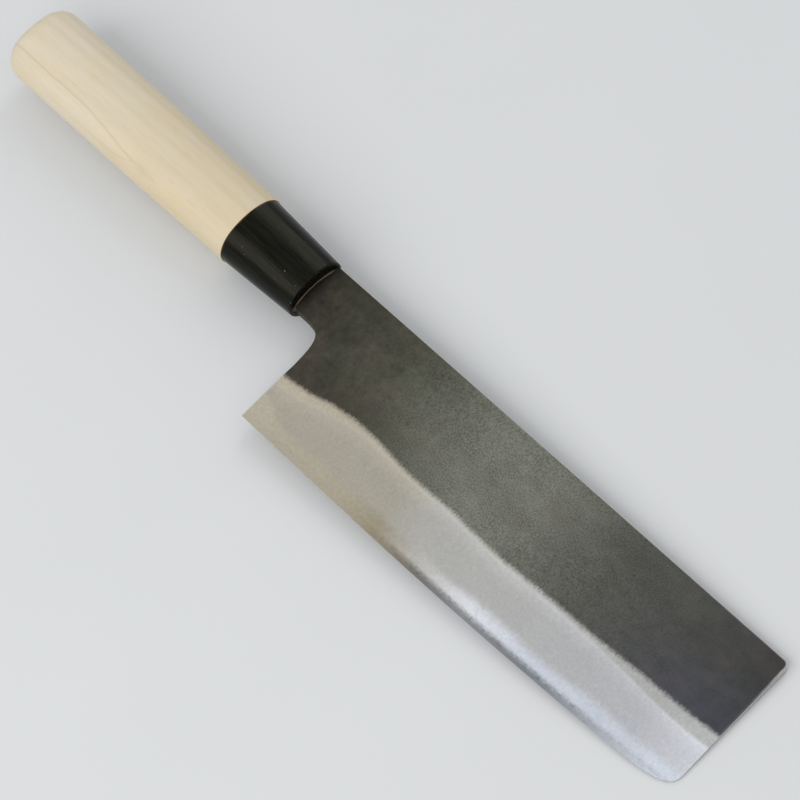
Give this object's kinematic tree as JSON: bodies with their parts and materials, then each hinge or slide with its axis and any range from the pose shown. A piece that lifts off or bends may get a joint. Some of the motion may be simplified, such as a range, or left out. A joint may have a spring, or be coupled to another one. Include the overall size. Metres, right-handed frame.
{
  "type": "nakiri knife",
  "caption": "Japanese vegetable knife with a tall, straight laminated blade, a dark forge skin above its ground bevel, a black ferrule and an oval pale wood handle.",
  "frame": {"origin": "bottom centre of the bounding box of the knife lying on its left side", "axes": "+X from the butt to the tip, +Y from the cutting edge to the spine, +Z out of the right face of the blade"},
  "size_m": [0.3032, 0.0546, 0.0202],
  "materials": {
    "core_steel": "hard carbon steel, ground to a satin bevel and honed at the edge",
    "cladding_iron": "soft iron with its dark, mottled forge skin, ground to a satin grey below the bevel line",
    "ferrule_horn": "polished black horn or resin",
    "handle_wood": "bare pale magnolia, sanded smooth, straight fine grain along the handle"
  },
  "bodies": {
    "root": {"blade_core": "core_steel", "blade_cladding_right": "cladding_iron", "blade_cladding_left": "cladding_iron", "ferrule": "ferrule_horn", "handle": "handle_wood"}
  },
  "joints": []
}
